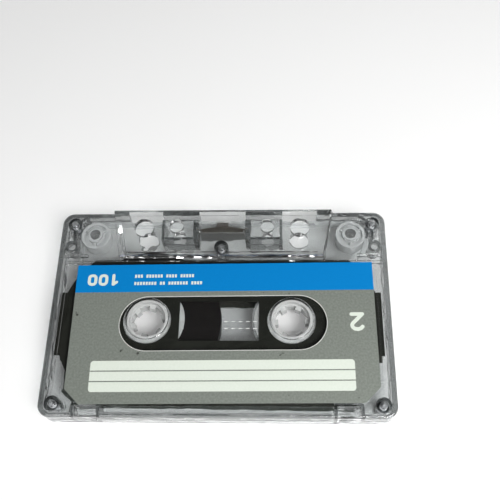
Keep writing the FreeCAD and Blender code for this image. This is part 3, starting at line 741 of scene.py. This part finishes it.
rows = add(printed_scale, "GeometryNodeRealizeInstances", inputs={"Geometry": bars}).outputs["Geometry"]
placed = add(
    printed_scale, "GeometryNodeInstanceOnPoints", inputs={"Points": given["Points"], "Instance": rows}
).outputs["Instances"]
solid = add(printed_scale, "GeometryNodeRealizeInstances", inputs={"Geometry": placed}).outputs["Geometry"]
inked = add(
    printed_scale, "GeometryNodeSetMaterial", inputs={"Geometry": solid, "Material": scale_ink}
).outputs["Geometry"]
add(printed_scale, "NodeGroupOutput", inputs={"Piece": inked})

tape_scale = grow("tape_scale", [scale_middle], printed_scale, sockets, scale_sizes)
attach(tape_scale, "shell")


# Studio: a plain pale table under the cassette, which lies on its head section and its back edge, so
# the table plane is tilted by that small angle. Two soft lamps stand high on the camera's side, and the
# room is bright low down and dark overhead, so that the flat top shows no haze.
table_white = "#F4F4F3"
table_whiter = "#F8F8F8"
table_cloud_size = 500 / 3 * MM
table_lift = 0.12
table_half = 2000 * MM
rest_front_y = 15.9 * MM
rest_back_y = -31.6 * MM
rest_back_z = 1.7 * MM
room_low_light = 0.7
room_top_light = 0.05
room_low_height = 0.1
room_top_height = 0.75
lamps = (
    ("key", (0.24, -0.24, 0.40), 0.30, 3.0),
    ("side", (-0.30, -0.30, 0.50), 0.25, 0.6),
)

slope = rest_back_z / (rest_back_y - rest_front_y)
corners = []
for x, y in ((-1, -1), (1, -1), (1, 1), (-1, 1)):
    depth = y * table_half
    corners.append((x * table_half, depth, (depth - rest_front_y) * slope))
table_mesh = bpy.data.meshes.new("table")
table_mesh.from_pydata(corners, [], [(0, 1, 2, 3)])
table = bpy.data.objects.new("table", table_mesh)
bpy.context.scene.collection.objects.link(table)

tabletop, tree, place = new_material("pale_tabletop")
faint = add(
    tree, "ShaderNodeTexNoise", inputs={"Vector": place, "Scale": 1 / table_cloud_size}
).outputs["Fac"]
tone = add(
    tree, "ShaderNodeMix", {"data_type": "RGBA"}, {0: faint, 6: colour(table_white), 7: colour(table_whiter)}
).outputs[2]
top = add(tree, "ShaderNodeBsdfPrincipled", inputs={"Base Color": tone, "Roughness": 0.8}).outputs["BSDF"]
path = add(tree, "ShaderNodeLightPath")
mirrored = add(
    tree,
    "ShaderNodeMath",
    {"operation": "MAXIMUM"},
    {0: path.outputs["Is Glossy Ray"], 1: path.outputs["Is Transmission Ray"]},
).outputs["Value"]
seen = add(
    tree, "ShaderNodeMath", {"operation": "MAXIMUM"}, {0: path.outputs["Is Camera Ray"], 1: mirrored}
).outputs["Value"]
lift = add(tree, "ShaderNodeMath", {"operation": "MULTIPLY"}, {0: seen, 1: table_lift}).outputs["Value"]
glow = add(
    tree, "ShaderNodeEmission", inputs={"Color": colour("#FFFFFF"), "Strength": lift}
).outputs["Emission"]
lifted = add(tree, "ShaderNodeAddShader", inputs={0: top, 1: glow}).outputs["Shader"]
add(tree, "ShaderNodeOutputMaterial", inputs={"Surface": lifted})
table_mesh.materials.append(tabletop)

world = bpy.data.worlds.new("studio")
bpy.context.scene.world = world
world.use_nodes = True
tree = world.node_tree
tree.nodes.clear()
outward = add(tree, "ShaderNodeTexCoord").outputs["Generated"]
height = add(tree, "ShaderNodeSeparateXYZ", inputs={0: outward}).outputs["Z"]
strength = add(
    tree,
    "ShaderNodeMapRange",
    inputs={
        "Value": height,
        "From Min": room_low_height,
        "From Max": room_top_height,
        "To Min": room_low_light,
        "To Max": room_top_light,
    },
).outputs["Result"]
room = add(
    tree, "ShaderNodeBackground", inputs={"Color": colour("#FFFFFF"), "Strength": strength}
).outputs["Background"]
add(tree, "ShaderNodeOutputWorld", inputs={"Surface": room})

for name, spot, size, watts in lamps:
    lamp_data = bpy.data.lights.new(name, "AREA")
    lamp_data.size = size
    lamp_data.energy = watts
    lamp = bpy.data.objects.new(name, lamp_data)
    towards_origin = Vector(spot).to_track_quat("Z", "Y").to_matrix().to_4x4()
    lamp.matrix_world = Matrix.Translation(spot) @ towards_origin
    bpy.context.scene.collection.objects.link(lamp)

bpy.context.scene.view_settings.view_transform = "Standard"
